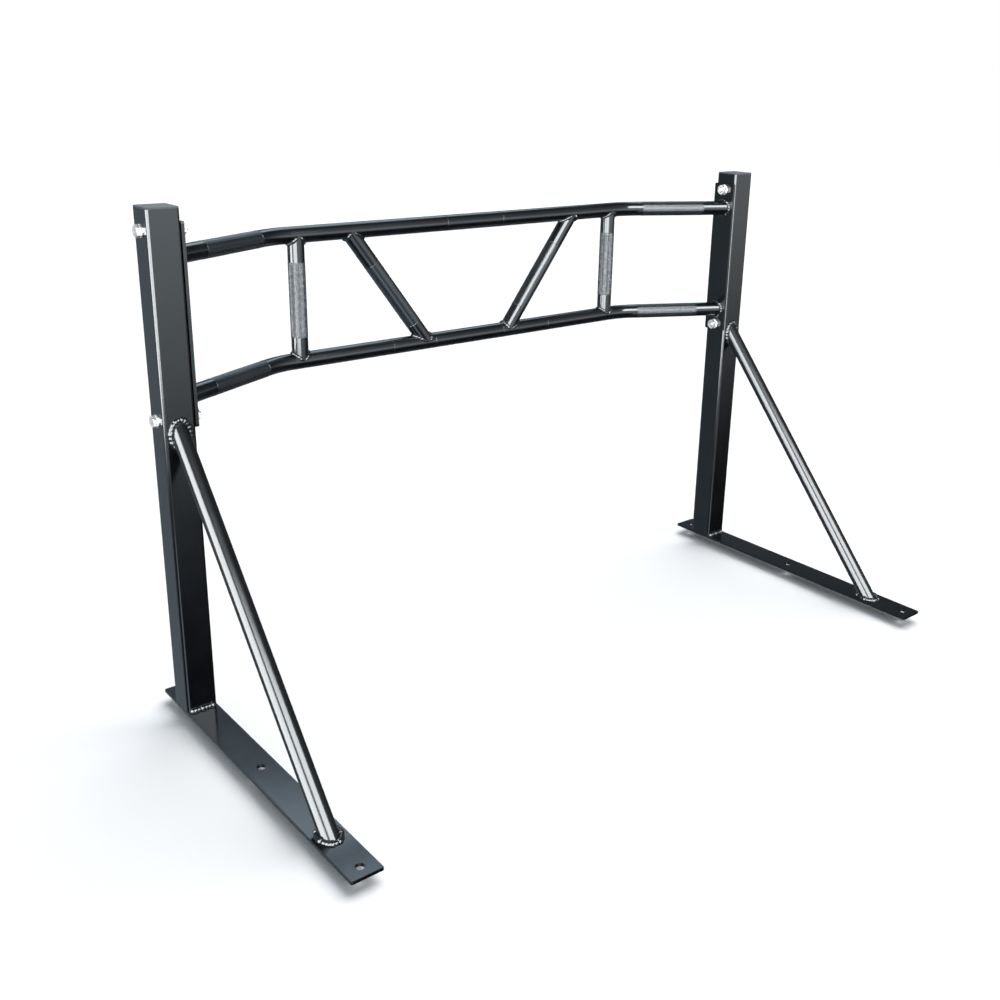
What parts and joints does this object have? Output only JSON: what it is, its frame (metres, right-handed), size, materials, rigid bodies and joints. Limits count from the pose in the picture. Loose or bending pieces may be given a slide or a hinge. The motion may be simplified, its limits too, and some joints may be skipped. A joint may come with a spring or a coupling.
{
  "type": "multi-grip pull-up bar",
  "caption": "Bolt-on pull-up rack: two posts on drilled anchor plates with slanted braces carry an upper and a lower bar joined by upright and angled knurled grips.",
  "frame": {"origin": "centre of the rectangle of four outer anchor holes, on the mounting face of the two anchor plates", "axes": "+X along the bars, +Y from the braces towards the posts, +Z away from the mounting face"},
  "size_m": [1.3008, 0.6409, 0.804],
  "materials": {
    "black_paint": "satin black powder coat",
    "weld_bead": "glossy, over a rippled bead",
    "zinc_plated_steel": "bright zinc plating",
    "cap_plastic": "grey moulded plastic"
  },
  "bodies": {
    "root": {"left_angled_grip": "black_paint", "left_angled_grip_foot_weld": "weld_bead", "left_angled_grip_top_weld": "weld_bead", "left_brace": "black_paint", "left_brace_foot_weld": "weld_bead", "left_brace_top_weld": "weld_bead", "left_flange": "black_paint", "left_foot_plate": "black_paint", "left_grip": "black_paint", "left_grip_foot_weld": "weld_bead", "left_grip_top_weld": "weld_bead", "left_lower_bar_weld": "weld_bead", "left_lower_bolt": "zinc_plated_steel", "left_lower_head_washer": "zinc_plated_steel", "left_lower_nut": "zinc_plated_steel", "left_lower_nut_washer": "zinc_plated_steel", "left_post": "black_paint", "left_post_back_weld": "weld_bead", "left_post_cap": "cap_plastic", "left_post_front_weld": "weld_bead", "left_upper_bar_weld": "weld_bead", "left_upper_bolt": "zinc_plated_steel", "left_upper_head_washer": "zinc_plated_steel", "left_upper_nut": "zinc_plated_steel", "left_upper_nut_washer": "zinc_plated_steel", "lower_bar": "black_paint", "right_angled_grip": "black_paint", "right_angled_grip_foot_weld": "weld_bead", "right_angled_grip_top_weld": "weld_bead", "right_brace": "black_paint", "right_brace_foot_weld": "weld_bead", "right_brace_top_weld": "weld_bead", "right_flange": "black_paint", "right_foot_plate": "black_paint", "right_grip": "black_paint", "right_grip_foot_weld": "weld_bead", "right_grip_top_weld": "weld_bead", "right_lower_bar_weld": "weld_bead", "right_lower_bolt": "zinc_plated_steel", "right_lower_head_washer": "zinc_plated_steel", "right_lower_nut": "zinc_plated_steel", "right_lower_nut_washer": "zinc_plated_steel", "right_post": "black_paint", "right_post_back_weld": "weld_bead", "right_post_cap": "cap_plastic", "right_post_front_weld": "weld_bead", "right_upper_bar_weld": "weld_bead", "right_upper_bolt": "zinc_plated_steel", "right_upper_head_washer": "zinc_plated_steel", "right_upper_nut": "zinc_plated_steel", "right_upper_nut_washer": "zinc_plated_steel", "upper_bar": "black_paint"}
  },
  "joints": []
}
